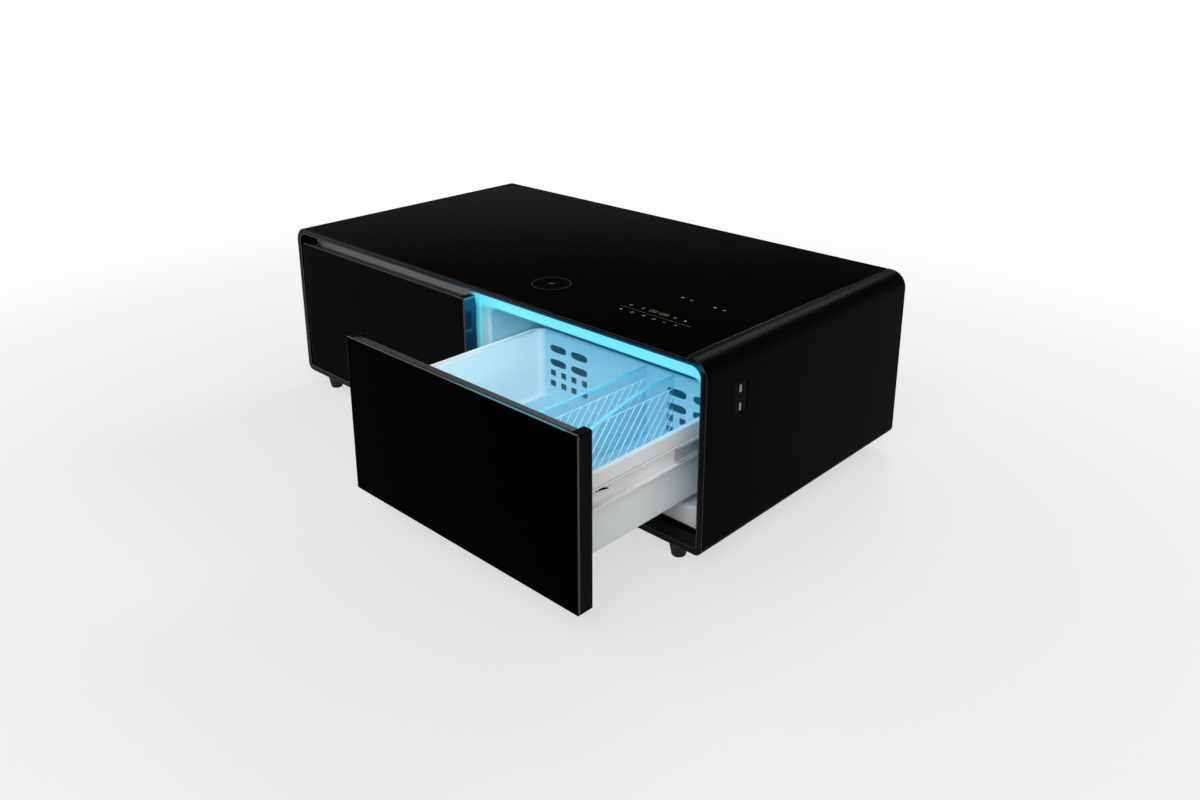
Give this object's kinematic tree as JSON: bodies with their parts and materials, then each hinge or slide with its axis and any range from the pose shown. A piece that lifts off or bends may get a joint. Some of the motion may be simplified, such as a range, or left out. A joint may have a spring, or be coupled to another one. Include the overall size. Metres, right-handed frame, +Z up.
{
  "type": "refrigerator coffee table",
  "caption": "Low black coffee table with a glass top over cooled pull-out drawers, each running on telescopic slides.",
  "frame": {"origin": "centre of the footprint, with the right drawer open as in the picture, on the floor under the feet", "axes": "+X to the table's right side as seen from the front, along its width; +Y to the back; +Z up"},
  "size_m": [1.3, 0.994, 0.422],
  "materials": {
    "black_steel": "satin",
    "black_frame": "satin",
    "black_glass": "polished",
    "black_plastic": "satin",
    "bronze_metal": "brushed",
    "white_plastic": "satin",
    "clear_plastic": "polished",
    "grey_rubber": "matte",
    "black_rubber": "matte",
    "zinc_steel": "satin",
    "pale_foam": "matte",
    "copper_pipe": "satin",
    "fin_metal": "satin",
    "compressor_paint": "satin",
    "cyan_light": "polished",
    "circuit_board": "satin",
    "white_steel": "satin"
  },
  "bodies": {
    "cabinet": {"cabinet_shell": "black_steel", "charging_coil": "copper_pipe", "charging_ports": "zinc_steel", "compressor": "compressor_paint", "condenser": "copper_pipe", "condenser_fan_frame": "black_plastic", "control_box": "black_plastic", "duct_cover_left": "white_plastic", "duct_cover_right": "white_plastic", "evaporator_left": "fin_metal", "evaporator_right": "fin_metal", "foot_front_left": "black_rubber", "foot_front_right": "black_rubber", "foot_rear_left": "black_rubber", "foot_rear_right": "black_rubber", "front_frame": "black_frame", "glass_top": "black_glass", "insulation": "pale_foam", "light_strip": "cyan_light", "liner_left": "white_plastic", "liner_right": "white_plastic", "liquid_line": "copper_pipe", "power_inlet": "black_plastic", "rear_panel": "black_steel", "slide_rail_left_left": "zinc_steel", "slide_rail_left_right": "zinc_steel", "slide_rail_right_left": "zinc_steel", "slide_rail_right_right": "zinc_steel", "socket_bezel": "black_plastic", "suction_line": "copper_pipe", "touch_board": "circuit_board"},
    "drawer_left": {"front_glass_left": "black_glass", "front_shell_left": "black_plastic", "pull_strip_left": "bronze_metal", "seal_left": "grey_rubber", "drawer_box_left": "white_plastic", "divider_left_1": "clear_plastic", "divider_left_2": "clear_plastic", "slide_carrier_left_left": "white_steel", "slide_carrier_left_right": "white_steel"},
    "runners_left": {"slide_middle_left_left": "zinc_steel", "slide_middle_left_right": "zinc_steel"},
    "duct_fan_left": {"duct_fan_left": "black_plastic"},
    "slide_lever_left_left": {"slide_lever_left_left": "black_plastic"},
    "slide_lever_left_right": {"slide_lever_left_right": "black_plastic"},
    "drawer_right": {"front_glass_right": "black_glass", "front_shell_right": "black_plastic", "pull_strip_right": "bronze_metal", "seal_right": "grey_rubber", "drawer_box_right": "white_plastic", "divider_right_1": "clear_plastic", "divider_right_2": "clear_plastic", "slide_carrier_right_left": "white_steel", "slide_carrier_right_right": "white_steel"},
    "runners_right": {"slide_middle_right_left": "zinc_steel", "slide_middle_right_right": "zinc_steel"},
    "duct_fan_right": {"duct_fan_right": "black_plastic"},
    "slide_lever_right_left": {"slide_lever_right_left": "black_plastic"},
    "slide_lever_right_right": {"slide_lever_right_right": "black_plastic"},
    "condenser_fan": {"condenser_fan": "black_plastic"}
  },
  "joints": [
    {"name": "left_drawer_slide", "type": "slide", "parent": "cabinet", "child": "drawer_left", "axis": [0, -1, 0], "range_m": [0, 0.39]},
    {"name": "left_runners_slide", "type": "slide", "parent": "cabinet", "child": "runners_left", "axis": [0, -1, 0], "range_m": [0, 0.195]},
    {"name": "left_duct_fan_spin", "type": "hinge", "parent": "cabinet", "child": "duct_fan_left", "pos_m": [-0.3145, 0.299, 0.304], "axis": [0, 1, 0], "continuous": true},
    {"name": "left_drawer_left_lever_tilt", "type": "hinge", "parent": "drawer_left", "child": "slide_lever_left_left", "pos_m": [-0.59145, -0.123, 0.244], "axis": [1, 0, 0], "range_deg": [-8, 8]},
    {"name": "left_drawer_right_lever_tilt", "type": "hinge", "parent": "drawer_left", "child": "slide_lever_left_right", "pos_m": [-0.03755, -0.123, 0.244], "axis": [1, 0, 0], "range_deg": [-8, 8]},
    {"name": "right_drawer_slide", "type": "slide", "parent": "cabinet", "child": "drawer_right", "axis": [0, -1, 0], "range_m": [-0.294, 0.096]},
    {"name": "right_runners_slide", "type": "slide", "parent": "cabinet", "child": "runners_right", "axis": [0, -1, 0], "range_m": [-0.147, 0.048]},
    {"name": "right_duct_fan_spin", "type": "hinge", "parent": "cabinet", "child": "duct_fan_right", "pos_m": [0.3145, 0.299, 0.304], "axis": [0, 1, 0], "continuous": true},
    {"name": "right_drawer_left_lever_tilt", "type": "hinge", "parent": "drawer_right", "child": "slide_lever_right_left", "pos_m": [0.03755, -0.417, 0.244], "axis": [1, 0, 0], "range_deg": [-8, 8]},
    {"name": "right_drawer_right_lever_tilt", "type": "hinge", "parent": "drawer_right", "child": "slide_lever_right_right", "pos_m": [0.59145, -0.417, 0.244], "axis": [1, 0, 0], "range_deg": [-8, 8]},
    {"name": "condenser_fan_spin", "type": "hinge", "parent": "cabinet", "child": "condenser_fan", "pos_m": [0.138, 0.424, 0.0978], "axis": [1, 0, 0], "continuous": true}
  ],
  "couplings": [
    {"joint": "left_runners_slide", "follows": "left_drawer_slide", "ratio": 0.5},
    {"joint": "right_runners_slide", "follows": "right_drawer_slide", "ratio": 0.5}
  ]
}
